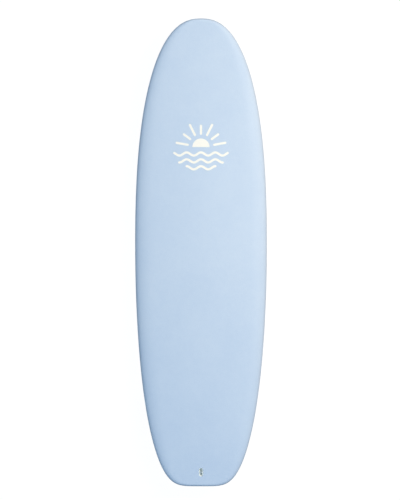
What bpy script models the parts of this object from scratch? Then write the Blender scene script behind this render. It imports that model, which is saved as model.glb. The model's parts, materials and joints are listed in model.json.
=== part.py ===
"""A soft-top surfboard, seven feet long: foam core, stringers, laminates, skins, leash plug and three fins.

Axes: +Z is up through the deck, -Y points to the nose, +X is the rider's left.
Origin: on the flat of the bottom, on the centreline, at half the board's length.
The board is built in layers. Each layer is the same hull shape, inset by its depth below the surface.
"""

import math

import bmesh
import bpy
import numpy as np
from mathutils import Matrix, Vector

# ---------------------------------------------------------------- driving dimensions, in metres
LENGTH = 2.134
WIDTH = 0.603
THICKNESS = 0.080
NOSE_ROCKER = 0.118
TAIL_ROCKER = 0.056
FLAT_HALF = 0.120  # the bottom is dead flat this far either side of the middle

# Outline: the half width falls from the wide point to each tip along a superellipse.
WIDE_POINT_SHARE = 0.486  # from the nose, as a share of the length
NOSE_RUN_POWER = 2.45
NOSE_ROUND_POWER = 2.40
TAIL_TAPER = 0.303
TAIL_CORNER_POWER = 5.2
TAIL_ROUND_POWER = 4.7

# Foil: thickness at the tips as a share of the middle's, and how late it falls away.
NOSE_THICKNESS_SHARE = 0.42
TAIL_THICKNESS_SHARE = 0.46
FOIL_POWER = 2.6
NOSE_ROCKER_POWER = 2.3
TAIL_ROCKER_POWER = 2.2

# Rails: the apex is the widest line of the edge; above and below it the rail is a quarter of a superellipse.
APEX_SHARE = 0.45
CROWN_SHARE = 0.32
RAIL_RUN_MIDDLE = 0.085  # how far the deck's roll into the rail reaches in from the edge
RAIL_RUN_TIP = 0.012
RAIL_RUN_POWER = 6.0
RAIL_RUN_ROUND_POWER = 0.8
RAIL_BOTTOM_SHARE = 0.42  # the same under the rail, as a share of the thickness
RAIL_TOP_POWER = 2.6
RAIL_BOTTOM_POWER = 2.2
SEAM_ANGLE = math.radians(42)  # where the deck skin, wrapped under the rail, meets the bottom skin
SEAM_GAP_ANGLE = math.radians(1.3)

# Layers, as depths below the surface.
GAP = 0.0003
DECK_SKIN = 0.0050
BOTTOM_SKIN = 0.0015
LAMINATE = 0.0010
LAMINATE_TOP = DECK_SKIN + GAP
CORE_TOP = LAMINATE_TOP + LAMINATE + GAP

# Stringers
STRINGER_X = 0.075
STRINGER_THICKNESS = 0.005

# Fins, their boxes and the blocks that hold the boxes
CENTRE_BOX_FROM_TAIL = 0.168
SIDE_BOX_FROM_TAIL = 0.350
SIDE_BOX_X = 0.192
TOE_IN = math.radians(3.0)
CANT = math.radians(6.0)
FIN_DEPTH = 0.116
FIN_BASE = 0.110
FIN_SWEEP = 0.074  # how far back the leading edge leans over the fin's depth
FIN_TIP_RAKE = 0.052  # and how much more it hooks back at the tip
FIN_TRAIL_HOLLOW = 0.016
FIN_TRAIL_SWEEP = 0.040
FIN_TIP_ROUND_POWER = 14
FIN_TIP_CENTRE = 0.62  # where the rounded tip's two edges meet, as a share of the chord
FIN_LAST_LEVEL = 0.995
FIN_THICKNESS = 0.0072
FIN_THINNING = 0.72
FIN_EDGE = 0.0010
FIN_FLAT_MARGIN = 0.0004  # the side fins' flat side stands this far outside their tabs
TAB_LENGTH = 0.024
TAB_THICKNESS = 0.0062
TAB_DEPTH = 0.014
TAB_SPACING = 0.056
TAB_ROOT = 0.0006  # how far a tab reaches into the blade
BOX_LENGTH = 0.114
BOX_WIDTH = 0.030
BOX_DEPTH = 0.0175
BLOCK_LENGTH = 0.134
BLOCK_WIDTH = 0.050
BLOCK_DEPTH = 0.034
BLOCK_CORNER = 0.010
PAST_SURFACE = 0.030  # how far a cutter that opens a face of the board reaches beyond it

# Grub screws, two to a fin box
SCREW_RADIUS = 0.0025
SCREW_LENGTH = 0.0085
SCREW_TIP_RADIUS = 0.0012
SCREW_HOLE_RADIUS = 0.0028
SCREW_LEAN = math.radians(25)  # the cone of the tip has the same half angle, so it bears flat on the tab
SCREW_TIP_DEPTH = 0.0095
BORE_PAST_TIP = 0.0010
SOCKET_RADIUS = 0.00145
SOCKET_DEPTH = 0.0030

# Leash plug
PLUG_FROM_TAIL = 0.065
PLUG_MOUTH_LENGTH = 0.0385
PLUG_MOUTH_WIDTH = 0.0175
PLUG_LIP = 0.0010
PLUG_HOLLOW_DEPTH = 0.020
PLUG_DRAFT = 0.0070  # how far the hollow's walls lean in by its floor
PLUG_PROUD = 0.0004
PLUG_PAST_MOUTH = 0.0010
PLUG_FLANGE = 0.008
PLUG_FLANGE_TOP = DECK_SKIN + 0.0005
PLUG_FLANGE_THICKNESS = 0.0020
PLUG_DEPTH = 0.0225
PLUG_WALL = 0.0022
BAR_RADIUS = 0.0025
BAR_DEPTH = 0.0075
BAR_END_MARGIN = 0.0004  # the bar's ends stop this far inside the cup's wall
BAR_HOLE_PAST_END = 0.0040
LEASH_BLOCK_LENGTH = 0.054
LEASH_BLOCK_DEPTH = 0.030

# Mesh fineness
STATIONS = 30
DECK_COLUMNS = 3
BOTTOM_COLUMNS = 2
RAIL_TOP_STEPS = 5
RAIL_WRAP_STEPS = 2
RAIL_UNDER_STEPS = 2
ROUND_STEPS = 16
ARC_STEPS = 6
OUTLINE_SAMPLES = 6001
TURN_WEIGHT = 0.45  # how much closer together the stations are where the outline turns

WIDE_Y = LENGTH * (WIDE_POINT_SHARE - 0.5)
TIP_Y = LENGTH / 2


# ---------------------------------------------------------------- hull shape
def half_width(y):
    """Half the board's width at a place along its length."""
    nose_run = np.clip((WIDE_Y - y) / (TIP_Y + WIDE_Y), 0, 1)
    tail_run = np.clip((y - WIDE_Y) / (TIP_Y - WIDE_Y), 0, 1)
    nose = (1 - nose_run**NOSE_RUN_POWER) ** (1 / NOSE_ROUND_POWER)
    tail = (1 - TAIL_TAPER * tail_run**2) * (1 - tail_run**TAIL_CORNER_POWER) ** (1 / TAIL_ROUND_POWER)
    return WIDTH / 2 * nose * tail


def bottom_height(y):
    """Height of the bottom's centreline: flat in the middle, rising to the nose and the tail."""
    run = np.clip((np.abs(y) - FLAT_HALF) / (TIP_Y - FLAT_HALF), 0, 1.01)
    nose = NOSE_ROCKER * run**NOSE_ROCKER_POWER
    tail = TAIL_ROCKER * run**TAIL_ROCKER_POWER
    return np.where(np.asarray(y) < 0, nose, tail)


def thickness(y):
    """Thickness on the centreline."""
    end_share = np.where(np.asarray(y) < 0, NOSE_THICKNESS_SHARE, TAIL_THICKNESS_SHARE)
    return THICKNESS * (1 - (1 - end_share) * np.abs(y / TIP_Y) ** FOIL_POWER)


def deck_rise(x, y):
    """Height of the deck above the rail's apex, less where the deck falls away from the centreline."""
    crown = 1 - CROWN_SHARE * (x / (WIDTH / 2)) ** 2
    return (1 - APEX_SHARE) * thickness(y) * crown


def deck_height(x, y):
    """Height of the deck inside the rails."""
    return bottom_height(y) + APEX_SHARE * thickness(y) + deck_rise(x, y)


def rail_run(y, above):
    """How far the rail's roll reaches in from the outline."""
    if not above:
        return RAIL_BOTTOM_SHARE * thickness(y)
    fullness = (1 - np.abs(y / TIP_Y) ** RAIL_RUN_POWER) ** RAIL_RUN_ROUND_POWER
    return RAIL_RUN_TIP + (RAIL_RUN_MIDDLE - RAIL_RUN_TIP) * fullness


def outline_stations(count):
    """Points on the +X half of the outline from nose to tail, and the directions inward from them."""
    angle = np.linspace(0, math.pi, OUTLINE_SAMPLES)
    y = -TIP_Y * np.cos(angle)
    x = half_width(y)
    x[0] = x[-1] = 0
    tangent = np.stack([np.gradient(x), np.gradient(y)], axis=1)
    tangent /= np.linalg.norm(tangent, axis=1)[:, None]
    tangent[0], tangent[-1] = (1, 0), (-1, 0)
    step = np.hypot(np.diff(x), np.diff(y))
    turn = np.linalg.norm(np.diff(tangent, axis=0), axis=1)
    effort = np.concatenate([[0], np.cumsum(step / LENGTH + TURN_WEIGHT * turn)])
    wanted = np.linspace(0, effort[-1], count + 1)
    points = np.stack([np.interp(wanted, effort, values) for values in (x, y)], axis=1)
    along = np.stack([np.interp(wanted, effort, values) for values in tangent.T], axis=1)
    along /= np.linalg.norm(along, axis=1)[:, None]
    inward = np.stack([-along[:, 1], along[:, 0]], axis=1)
    return points, inward


def rail_point(point, inward, depth, angle, above):
    """A point on the rail of the hull inset by depth. Angle 0 is the apex, a right angle the shoulder."""
    power = RAIL_TOP_POWER if above else RAIL_BOTTOM_POWER
    run = float(rail_run(point[1], above)) - depth
    x, y = point + inward * (depth + run * (1 - max(math.cos(angle), 0) ** (2 / power)))
    apex = float(bottom_height(y) + APEX_SHARE * thickness(y))
    rise = float(deck_rise(x, y)) if above else APEX_SHARE * float(thickness(y))
    lift = (rise - depth) * math.sin(angle) ** (2 / power)
    return Vector((max(x, 0.0), y, apex + (lift if above else -lift)))


def deck_section(point, inward, depth):
    """The deck's side of one station: centreline, shoulder, apex, and round to the seam under the rail."""
    shoulder = rail_point(point, inward, depth, math.pi / 2, above=True)
    section = []
    for column in range(DECK_COLUMNS):
        x = shoulder.x * column / DECK_COLUMNS
        section.append(Vector((x, shoulder.y, float(deck_height(x, shoulder.y)) - depth)))
    for step in range(RAIL_TOP_STEPS, -1, -1):
        section.append(rail_point(point, inward, depth, math.pi / 2 * step / RAIL_TOP_STEPS, above=True))
    for step in range(1, RAIL_WRAP_STEPS + 1):
        section.append(rail_point(point, inward, depth, SEAM_ANGLE * step / RAIL_WRAP_STEPS, above=False))
    return section


def bottom_section(point, inward, depth, start):
    """The bottom's side of one station: from an angle under the rail to the flat and the centreline."""
    section = []
    for step in range(RAIL_UNDER_STEPS + 1):
        angle = start + (math.pi / 2 - start) * step / RAIL_UNDER_STEPS
        section.append(rail_point(point, inward, depth, angle, above=False))
    flat = section[-1].copy()
    for column in range(BOTTOM_COLUMNS - 1, -1, -1):
        x = flat.x * column / BOTTOM_COLUMNS
        section.append(Vector((x, flat.y, float(bottom_height(flat.y)) + depth)))
    return section


# ---------------------------------------------------------------- mesh helpers
class Welder:
    """Builds a mesh in which points in the same place are one vertex."""

    def __init__(self):
        self.bm = bmesh.new()
        self.found = {}

    def vertex(self, point):
        key = tuple(round(c * 1e6) for c in point)
        if key not in self.found:
            self.found[key] = self.bm.verts.new(point)
        return self.found[key]

    def triangle(self, *points):
        corners = [self.vertex(p) for p in points]
        if len(set(corners)) == 3:
            self.bm.faces.new(corners)

    def sheet(self, rows):
        """Triangles between each pair of neighbouring rows of points."""
        for first, second in zip(rows, rows[1:]):
            for a, b, c, d in zip(first, first[1:], second[1:], second):
                self.triangle(a, b, c)
                self.triangle(a, c, d)


def half_shell(outer, inner):
    """The +X half of a skin: its outer sheet, its inner sheet and the edge that joins their ends."""
    welder = Welder()
    welder.sheet(outer)
    welder.sheet([row[::-1] for row in inner])
    for a, b in zip(range(len(outer)), range(1, len(outer))):
        for end in (0, -1):
            ring = [outer[a][end], outer[b][end], inner[b][end], inner[a][end]]
            if max(abs(p.x) for p in ring) < 1e-6:
                continue
            if end == 0:
                ring.reverse()
            welder.triangle(ring[0], ring[1], ring[2])
            welder.triangle(ring[0], ring[2], ring[3])
    return welder.bm


def add_object(name, bm, material, smooth_angle=None, matrix=None):
    """Turns a bmesh into an object, with its faces pointing out."""
    mesh = bpy.data.meshes.new(name)
    bmesh.ops.recalc_face_normals(bm, faces=bm.faces)
    bm.to_mesh(mesh)
    bm.free()
    mesh.materials.append(material)
    if smooth_angle is not None:
        mesh.shade_smooth()
        mesh.set_sharp_from_angle(angle=math.radians(smooth_angle))
    obj = bpy.data.objects.new(name, mesh)
    bpy.context.scene.collection.objects.link(obj)
    if matrix is not None:
        obj.matrix_world = matrix
    return obj


def add_cutter(name, bm, matrix=None):
    """A helper that only shapes other objects."""
    cutter = add_object(name, bm, MATERIALS["helper"], matrix=matrix)
    cutter.hide_render = True
    cutter.display_type = "WIRE"
    return cutter


def combine(obj, other, operation="DIFFERENCE"):
    modifier = obj.modifiers.new(f"{operation.lower()} {other.name}", "BOOLEAN")
    modifier.operation = operation
    modifier.solver = "EXACT"
    modifier.object = other


def mirror_half(obj):
    """Completes an object modelled on its +X side only."""
    modifier = obj.modifiers.new("other half", "MIRROR")
    modifier.use_mirror_merge = True
    modifier.merge_threshold = 0.00001


def slot_outline(length, width, corner=None):
    """A rectangle with rounded corners, long in Y. With no corner radius given, its ends are half circles."""
    corner = width / 2 if corner is None else corner
    points = []
    for turn, (sx, sy) in enumerate([(1, 1), (-1, 1), (-1, -1), (1, -1)]):
        centre = Vector((sx * (width / 2 - corner), sy * (length / 2 - corner)))
        for step in range(ARC_STEPS + 1):
            angle = math.pi / 2 * (turn + step / ARC_STEPS)
            point = centre + corner * Vector((math.cos(angle), math.sin(angle)))
            if not points or (point - points[-1]).length > 1e-6:
                points.append(point)
    if (points[0] - points[-1]).length < 1e-6:
        points.pop()
    return points


def prism(outline, low, high, shear=0.0):
    """An outline extruded from low to high, leaning sideways by shear for each metre of height."""
    bm = bmesh.new()
    face = bm.faces.new([bm.verts.new((p[0] + low * shear, p[1], low)) for p in outline])
    moved = bmesh.ops.extrude_face_region(bm, geom=[face])["geom"]
    top = [item for item in moved if isinstance(item, bmesh.types.BMVert)]
    bmesh.ops.translate(bm, verts=top, vec=((high - low) * shear, 0, high - low))
    return bm


def tapered(low_outline, high_outline, low, high):
    """A closed body between two outlines with as many points, one above the other."""
    bm = bmesh.new()
    below = [bm.verts.new((p[0], p[1], low)) for p in low_outline]
    above = [bm.verts.new((p[0], p[1], high)) for p in high_outline]
    for k, point in enumerate(below):
        bm.faces.new((below[k - 1], point, above[k], above[k - 1]))
    bm.faces.new(below[::-1])
    bm.faces.new(above)
    return bm


def rod(radius, low, high, segments=ROUND_STEPS):
    """A cylinder on the Z axis."""
    bm = bmesh.new()
    bmesh.ops.create_cone(
        bm,
        cap_ends=True,
        segments=segments,
        radius1=radius,
        radius2=radius,
        depth=high - low,
        matrix=Matrix.Translation((0, 0, (low + high) / 2)),
    )
    return bm


def make_material(name, colour, roughness, metallic=0.0):
    material = bpy.data.materials.new(name)
    material.use_nodes = True
    surface = material.node_tree.nodes["Principled BSDF"]
    surface.inputs["Base Color"].default_value = (*colour, 1.0)
    surface.inputs["Roughness"].default_value = roughness
    surface.inputs["Metallic"].default_value = metallic
    return material


# ---------------------------------------------------------------- hull layers
def make_skins(points, inward):
    """The deck skin, which wraps under the rails, and the layers that meet it at a seam or lie under it."""
    pairs = list(zip(points, inward))
    under = SEAM_ANGLE + SEAM_GAP_ANGLE
    layers = {
        "deck_skin": (deck_section, (), 0.0, DECK_SKIN),
        "bottom_skin": (bottom_section, (under,), 0.0, BOTTOM_SKIN),
        "bottom_foam": (bottom_section, (under,), BOTTOM_SKIN + GAP, DECK_SKIN),
        "deck_laminate": (deck_section, (), LAMINATE_TOP, LAMINATE_TOP + LAMINATE),
        "bottom_laminate": (bottom_section, (under,), LAMINATE_TOP, LAMINATE_TOP + LAMINATE),
    }
    made = {}
    for name, (section, extra, top, base) in layers.items():
        outer = [section(p, n, top, *extra) for p, n in pairs]
        inner = [section(p, n, base, *extra) for p, n in pairs]
        kind = "laminate" if name.endswith("laminate") else name
        made[name] = add_object(name, half_shell(outer, inner), MATERIALS[kind], smooth_angle=35)
        mirror_half(made[name])
    return made


def core_blank(points, inward):
    """The +X half of the whole foam core, before it is cut for the stringers and the hardware."""
    welder = Welder()
    rows = []
    for point, direction in zip(points, inward):
        deck = deck_section(point, direction, CORE_TOP)
        rows.append(deck + bottom_section(point, direction, CORE_TOP, SEAM_ANGLE)[1:])
    welder.sheet(rows)
    return welder.bm


def make_core(points, inward):
    """Three foam strips with a stringer between each pair, all cut from the same blank."""
    half_strip = STRINGER_THICKNESS / 2
    cuts = {
        "core_centre": (GAP - STRINGER_X + half_strip, STRINGER_X - half_strip - GAP),
        "stringer_left": (STRINGER_X - half_strip, STRINGER_X + half_strip),
        "stringer_right": (-STRINGER_X - half_strip, -STRINGER_X + half_strip),
        "core_left": (STRINGER_X + half_strip + GAP, WIDTH),
        "core_right": (-WIDTH, -STRINGER_X - half_strip - GAP),
    }
    made = {}
    for name, (low, high) in cuts.items():
        kind = "stringer" if name.startswith("stringer") else "core"
        made[name] = add_object(name, core_blank(points, inward), MATERIALS[kind], smooth_angle=35)
        mirror_half(made[name])
        strip = bmesh.new()
        bmesh.ops.create_cube(strip, size=1.0)
        bmesh.ops.scale(strip, verts=strip.verts, vec=(high - low, LENGTH * 1.2, LENGTH))
        bmesh.ops.translate(strip, verts=strip.verts, vec=((low + high) / 2, 0, 0))
        combine(made[name], add_cutter(f"strip_{name}", strip), "INTERSECT")
    return made


def make_block(name, outline, reach, frame, stations, host):
    """A dense foam block let into the core, flush with its face, and the pocket for it."""
    low, high = reach
    block = add_object(name, core_blank(*stations), MATERIALS["block"], smooth_angle=35)
    mirror_half(block)
    combine(block, add_cutter(f"shape_{name}", prism(outline(0), low, high), frame), "INTERSECT")
    combine(host, add_cutter(f"pocket_{name}", prism(outline(GAP), low - GAP, high + GAP), frame))
    return block


# ---------------------------------------------------------------- fins
def fin_outline(share):
    """Leading and trailing edge at a share of the fin's depth, measured back from the base's middle.

    Near the tip the two edges close on each other, which rounds it.
    """
    lead = -FIN_BASE / 2 + FIN_SWEEP * share**1.35 + FIN_TIP_RAKE * share**5
    hollow = FIN_TRAIL_HOLLOW * math.sin(math.pi * min(share * 1.15, 1.0))
    trail = FIN_BASE / 2 - hollow + FIN_TRAIL_SWEEP * share**2
    pinch = math.sqrt(1 - share**FIN_TIP_ROUND_POWER)
    middle = lead + (trail - lead) * FIN_TIP_CENTRE
    return middle + (lead - middle) * pinch, middle + (trail - middle) * pinch


def foil_thickness(along):
    """Half thickness of a foil at a share of its chord, as a share of the greatest."""
    nose = 1.48 * math.sqrt(along) - 0.63 * along - 1.76 * along**2 + 1.42 * along**3 - 0.51 * along**4
    return max(nose, 0.0)


def fin_section(share, side, chord_steps):
    """One level of the blade as (x, y) points. Side 0 is symmetric; +1 and -1 are flat inboard."""
    lead, trail = fin_outline(share)
    thick = FIN_THICKNESS * (1 - FIN_THINNING * share)
    flat = TAB_THICKNESS / 2 + FIN_FLAT_MARGIN
    outer, inner = [], []
    for step in range(chord_steps + 1):
        along = 0.5 - 0.5 * math.cos(math.pi * step / chord_steps)
        bulge = thick * foil_thickness(along) + FIN_EDGE / 2
        y = lead + (trail - lead) * along
        outer.append((bulge, y) if side == 0 else (side * (2 * bulge - flat), y))
        inner.append((-bulge, y) if side == 0 else (-side * flat, y))
    return outer + inner[::-1]


def fin_blade(side, shear, levels=8, chord_steps=8):
    """The blade, hanging from just under the box's face, leaning by shear for each metre of height."""
    bm = bmesh.new()
    loops = []
    for level in range(levels + 1):
        share = FIN_LAST_LEVEL * math.sin(math.pi / 2 * level / levels)
        height = -GAP - FIN_DEPTH * share
        section = fin_section(share, side, chord_steps)
        loops.append([bm.verts.new((x + height * shear, y, height)) for x, y in section])
    for upper, lower in zip(loops, loops[1:]):
        for k in range(len(upper)):
            following = (k + 1) % len(upper)
            bm.faces.new([upper[k], upper[following], lower[following], lower[k]])
    bm.faces.new(loops[0])
    bm.faces.new(loops[-1][::-1])
    bmesh.ops.triangulate(bm, faces=bm.faces)
    return bm


def tab_outline(centre, grow):
    width = TAB_THICKNESS / 2 + grow
    front, rear = centre - TAB_LENGTH / 2 - grow, centre + TAB_LENGTH / 2 + grow
    return [(width, front), (width, rear), (-width, rear), (-width, front)]


def screw_frame(box_frame, centre, shear, lean_side):
    """A grub screw's place: its tip is by the tab, and its +Z axis runs out to the box's face."""
    clear = TAB_THICKNESS / 2 + GAP + SCREW_TIP_RADIUS * math.cos(SCREW_LEAN)
    upright = Matrix.Rotation(math.atan(shear), 4, "Y")
    on_tab = Matrix.Translation((SCREW_TIP_DEPTH * shear, centre, SCREW_TIP_DEPTH)) @ upright
    aside = Matrix.Translation((lean_side * clear, 0, 0))
    outward = Matrix.Rotation(math.pi - lean_side * SCREW_LEAN, 4, "Y")
    return box_frame @ on_tab @ aside @ outward


def make_screw(name, frame):
    """A grub screw with a conical tip and a hexagon socket."""
    cone = (SCREW_RADIUS - SCREW_TIP_RADIUS) / math.tan(SCREW_LEAN)
    profile = [(SCREW_TIP_RADIUS, 0), (SCREW_RADIUS, cone), (SCREW_RADIUS, SCREW_LENGTH)]
    bm = bmesh.new()
    loop = [bm.verts.new((radius, 0, height)) for radius, height in profile]
    edges = [bm.edges.new(pair) for pair in zip(loop, loop[1:])]
    bmesh.ops.spin(bm, geom=loop + edges, axis=(0, 0, 1), cent=(0, 0, 0), angle=math.tau, steps=ROUND_STEPS)
    bmesh.ops.remove_doubles(bm, verts=bm.verts, dist=1e-6)
    bmesh.ops.holes_fill(bm, edges=bm.edges, sides=ROUND_STEPS)
    screw = add_object(name, bm, MATERIALS["steel"], smooth_angle=35, matrix=frame)
    socket = rod(SOCKET_RADIUS, SCREW_LENGTH - SOCKET_DEPTH, SCREW_LENGTH * 1.5, segments=6)
    combine(screw, add_cutter(f"socket_{name}", socket, frame))
    return screw


def make_fin_set(label, frame, side, host, skins, points, inward):
    """One fin with its box, its two grub screws and the block in the core that holds the box."""
    shear = -math.tan(CANT) * side
    slot = slot_outline(BOX_LENGTH, BOX_WIDTH)
    wider_slot = slot_outline(BOX_LENGTH + 2 * GAP, BOX_WIDTH + 2 * GAP)
    box = add_object(f"fin_box_{label}", prism(slot, 0, BOX_DEPTH), MATERIALS["box"], 35, frame)
    hole = add_cutter(f"hole_{label}", prism(wider_slot, -PAST_SURFACE, BOX_DEPTH + GAP), frame)
    for name in ("bottom_skin", "bottom_foam", "bottom_laminate"):
        combine(skins[name], hole)

    def block_outline(grow):
        return slot_outline(BLOCK_LENGTH + 2 * grow, BLOCK_WIDTH + 2 * grow, BLOCK_CORNER)

    block_reach = (-PAST_SURFACE, BLOCK_DEPTH)
    block = make_block(f"fin_block_{label}", block_outline, block_reach, frame, (points, inward), host)
    combine(block, hole)

    fin = add_object(f"fin_{label}", fin_blade(side, shear), MATERIALS["fin"], 35, frame)
    for end, centre in (("front", -TAB_SPACING / 2), ("rear", TAB_SPACING / 2)):
        tab = prism(tab_outline(centre, 0), -GAP - TAB_ROOT, TAB_DEPTH, shear)
        combine(fin, add_cutter(f"tab_{label}_{end}", tab, frame), "UNION")
        pocket = prism(tab_outline(centre, GAP), -PAST_SURFACE, TAB_DEPTH + GAP, shear)
        combine(box, add_cutter(f"tab_pocket_{label}_{end}", pocket, frame))
        place = screw_frame(frame, centre, shear, -side or 1)
        make_screw(f"fin_screw_{label}_{end}", place)
        bore = rod(SCREW_HOLE_RADIUS, -BORE_PAST_TIP, SCREW_LENGTH * 2)
        combine(box, add_cutter(f"screw_hole_{label}_{end}", bore, place))


def surface_frame(x, y, height_at, turn=0.0):
    """A frame on the deck or the bottom, with its +Z square to the surface along the board's length."""
    step = 0.01
    slope = (float(height_at(y + step)) - float(height_at(y - step))) / (2 * step)
    place = Matrix.Translation((x, y, float(height_at(y))))
    return place @ Matrix.Rotation(turn, 4, "Z") @ Matrix.Rotation(math.atan(slope), 4, "X")


# ---------------------------------------------------------------- leash plug
def make_leash_plug(skins, host, points, inward):
    """A cup with an oval mouth let into the deck, its flange under the skin, and a steel bar across it."""
    frame = surface_frame(0, TIP_Y - PLUG_FROM_TAIL, lambda y: deck_height(0, y))

    def oval(grow):
        return slot_outline(PLUG_MOUTH_LENGTH + 2 * grow, PLUG_MOUTH_WIDTH + 2 * grow)

    def cutter(name, grow, low, high):
        return add_cutter(name, prism(oval(grow), low, high), frame)

    flange_low = -PLUG_FLANGE_TOP - PLUG_FLANGE_THICKNESS
    cup_low = prism(oval(PLUG_WALL), -PLUG_DEPTH, -PLUG_FLANGE_TOP)
    cup = add_object("leash_cup", cup_low, MATERIALS["cup"], 35, frame)
    combine(cup, cutter("cup_spigot", PLUG_LIP, flange_low / 2 - PLUG_FLANGE_TOP / 2, PLUG_PROUD), "UNION")
    combine(cup, cutter("cup_flange", PLUG_FLANGE, flange_low, -PLUG_FLANGE_TOP), "UNION")
    flare = PLUG_DRAFT * PLUG_PAST_MOUTH / PLUG_HOLLOW_DEPTH
    hollow = tapered(oval(-PLUG_DRAFT), oval(flare), -PLUG_HOLLOW_DEPTH, PLUG_PAST_MOUTH)
    combine(cup, add_cutter("cup_hollow", hollow, frame))
    across = frame @ Matrix.Translation((0, 0, -BAR_DEPTH)) @ Matrix.Rotation(math.pi / 2, 4, "Y")
    half_bar = PLUG_MOUTH_WIDTH / 2 + PLUG_WALL - BAR_END_MARGIN
    half_hole = half_bar + BAR_HOLE_PAST_END
    combine(cup, add_cutter("bar_hole", rod(BAR_RADIUS + GAP, -half_hole, half_hole), across))
    add_object("leash_bar", rod(BAR_RADIUS, -half_bar, half_bar), MATERIALS["steel"], 35, across)

    combine(skins["deck_skin"], cutter("mouth_hole", PLUG_LIP + GAP, -PAST_SURFACE / 2, PAST_SURFACE))
    bed = cutter("flange_bed", PLUG_FLANGE + GAP, flange_low - GAP, 0.0)
    combine(skins["deck_laminate"], bed)

    def block_outline(grow):
        return slot_outline(LEASH_BLOCK_LENGTH + 2 * grow, BLOCK_WIDTH + 2 * grow, BLOCK_CORNER)

    block_reach = (-LEASH_BLOCK_DEPTH, PAST_SURFACE)
    block = make_block("leash_block", block_outline, block_reach, frame, (points, inward), host)
    combine(block, bed)
    combine(block, cutter("cup_bed", PLUG_WALL + GAP, -PLUG_DEPTH - GAP, 0.0))


# ---------------------------------------------------------------- whole board
def clear_scene():
    for obj in list(bpy.data.objects):
        bpy.data.objects.remove(obj)


clear_scene()
MATERIALS = {
    "deck_skin": make_material("deck_foam", (0.50, 0.64, 0.80), 0.60),
    "bottom_skin": make_material("slick_skin", (0.80, 0.84, 0.87), 0.28),
    "bottom_foam": make_material("underlay_foam", (0.80, 0.83, 0.85), 0.70),
    "laminate": make_material("glass_laminate", (0.72, 0.76, 0.72), 0.35),
    "core": make_material("core_foam", (0.88, 0.88, 0.86), 0.80),
    "block": make_material("dense_foam", (0.70, 0.62, 0.45), 0.75),
    "stringer": make_material("stringer_ply", (0.55, 0.38, 0.22), 0.60),
    "box": make_material("box_nylon", (0.72, 0.74, 0.75), 0.45),
    "fin": make_material("fin_nylon", (0.05, 0.07, 0.10), 0.40),
    "cup": make_material("cup_nylon", (0.85, 0.87, 0.84), 0.40),
    "steel": make_material("stainless_steel", (0.60, 0.60, 0.58), 0.25, metallic=1.0),
    "helper": make_material("helper", (1.0, 0.3, 0.1), 0.5),
}

outline_points, outline_inward = outline_stations(STATIONS)
hull_skins = make_skins(outline_points, outline_inward)
core = make_core(outline_points, outline_inward)
make_leash_plug(hull_skins, core["core_centre"], outline_points, outline_inward)
for fin_label, fin_side, fin_x, from_tail in (
    ("centre", 0, 0.0, CENTRE_BOX_FROM_TAIL),
    ("left", 1, SIDE_BOX_X, SIDE_BOX_FROM_TAIL),
    ("right", -1, -SIDE_BOX_X, SIDE_BOX_FROM_TAIL),
):
    fin_frame = surface_frame(fin_x, TIP_Y - from_tail, bottom_height, turn=-TOE_IN * fin_side)
    fin_host = core["core_centre" if fin_side == 0 else f"core_{fin_label}"]
    make_fin_set(fin_label, fin_frame, fin_side, fin_host, hull_skins, outline_points, outline_inward)
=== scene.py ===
"""The soft-top surfboard's looks: fine meshes for the pieces that show, materials, studio and camera.

The axes are the CAD's: +Z is up through the deck, -Y points to the nose and +X is the rider's left.
"""

import json
import math

import bmesh
import bpy
import numpy as np
from mathutils import Matrix, Vector


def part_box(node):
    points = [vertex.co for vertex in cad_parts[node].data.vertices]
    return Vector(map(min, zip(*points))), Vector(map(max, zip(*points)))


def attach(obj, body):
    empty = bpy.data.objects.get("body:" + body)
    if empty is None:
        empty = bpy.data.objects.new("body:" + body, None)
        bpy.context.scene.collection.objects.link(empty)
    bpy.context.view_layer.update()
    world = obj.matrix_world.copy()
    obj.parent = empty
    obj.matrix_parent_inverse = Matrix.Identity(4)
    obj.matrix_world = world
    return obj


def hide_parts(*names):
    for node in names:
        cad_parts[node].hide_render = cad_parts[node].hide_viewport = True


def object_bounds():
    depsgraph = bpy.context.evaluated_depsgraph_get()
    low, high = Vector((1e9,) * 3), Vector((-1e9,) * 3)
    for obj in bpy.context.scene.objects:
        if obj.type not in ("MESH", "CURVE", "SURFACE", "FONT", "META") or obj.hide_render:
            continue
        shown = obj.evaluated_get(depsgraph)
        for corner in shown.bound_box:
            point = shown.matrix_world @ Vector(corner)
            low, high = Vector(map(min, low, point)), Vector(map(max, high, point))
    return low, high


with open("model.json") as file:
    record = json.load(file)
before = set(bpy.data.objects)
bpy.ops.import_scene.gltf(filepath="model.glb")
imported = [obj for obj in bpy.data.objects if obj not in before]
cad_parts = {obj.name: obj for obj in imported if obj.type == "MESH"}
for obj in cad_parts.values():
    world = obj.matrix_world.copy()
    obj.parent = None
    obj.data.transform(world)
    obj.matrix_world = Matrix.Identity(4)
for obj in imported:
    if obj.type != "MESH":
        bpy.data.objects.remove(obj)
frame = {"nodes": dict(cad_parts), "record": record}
CAD_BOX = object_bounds()

# ---------------------------------------------------------------- the CAD's hull; lengths are in metres
DECK_LOW, DECK_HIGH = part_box("deck_skin")
TIP_Y = (DECK_HIGH.y - DECK_LOW.y) / 2
LENGTH = 2 * TIP_Y
WIDTH = 0.603
THICKNESS = 0.080
NOSE_ROCKER = 0.118
TAIL_ROCKER = 0.056
FLAT_HALF = 0.120
WIDE_POINT_SHARE = 0.486
WIDE_Y = LENGTH * (WIDE_POINT_SHARE - 0.5)
NOSE_RUN_POWER = 2.45
NOSE_ROUND_POWER = 2.40
TAIL_TAPER = 0.303
TAIL_CORNER_POWER = 5.2
TAIL_ROUND_POWER = 4.7
NOSE_THICKNESS_SHARE = 0.42
TAIL_THICKNESS_SHARE = 0.46
FOIL_POWER = 2.6
NOSE_ROCKER_POWER = 2.3
TAIL_ROCKER_POWER = 2.2
ROCKER_RUN_LIMIT = 1.01  # the rocker's curve goes on this far past the tips
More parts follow.
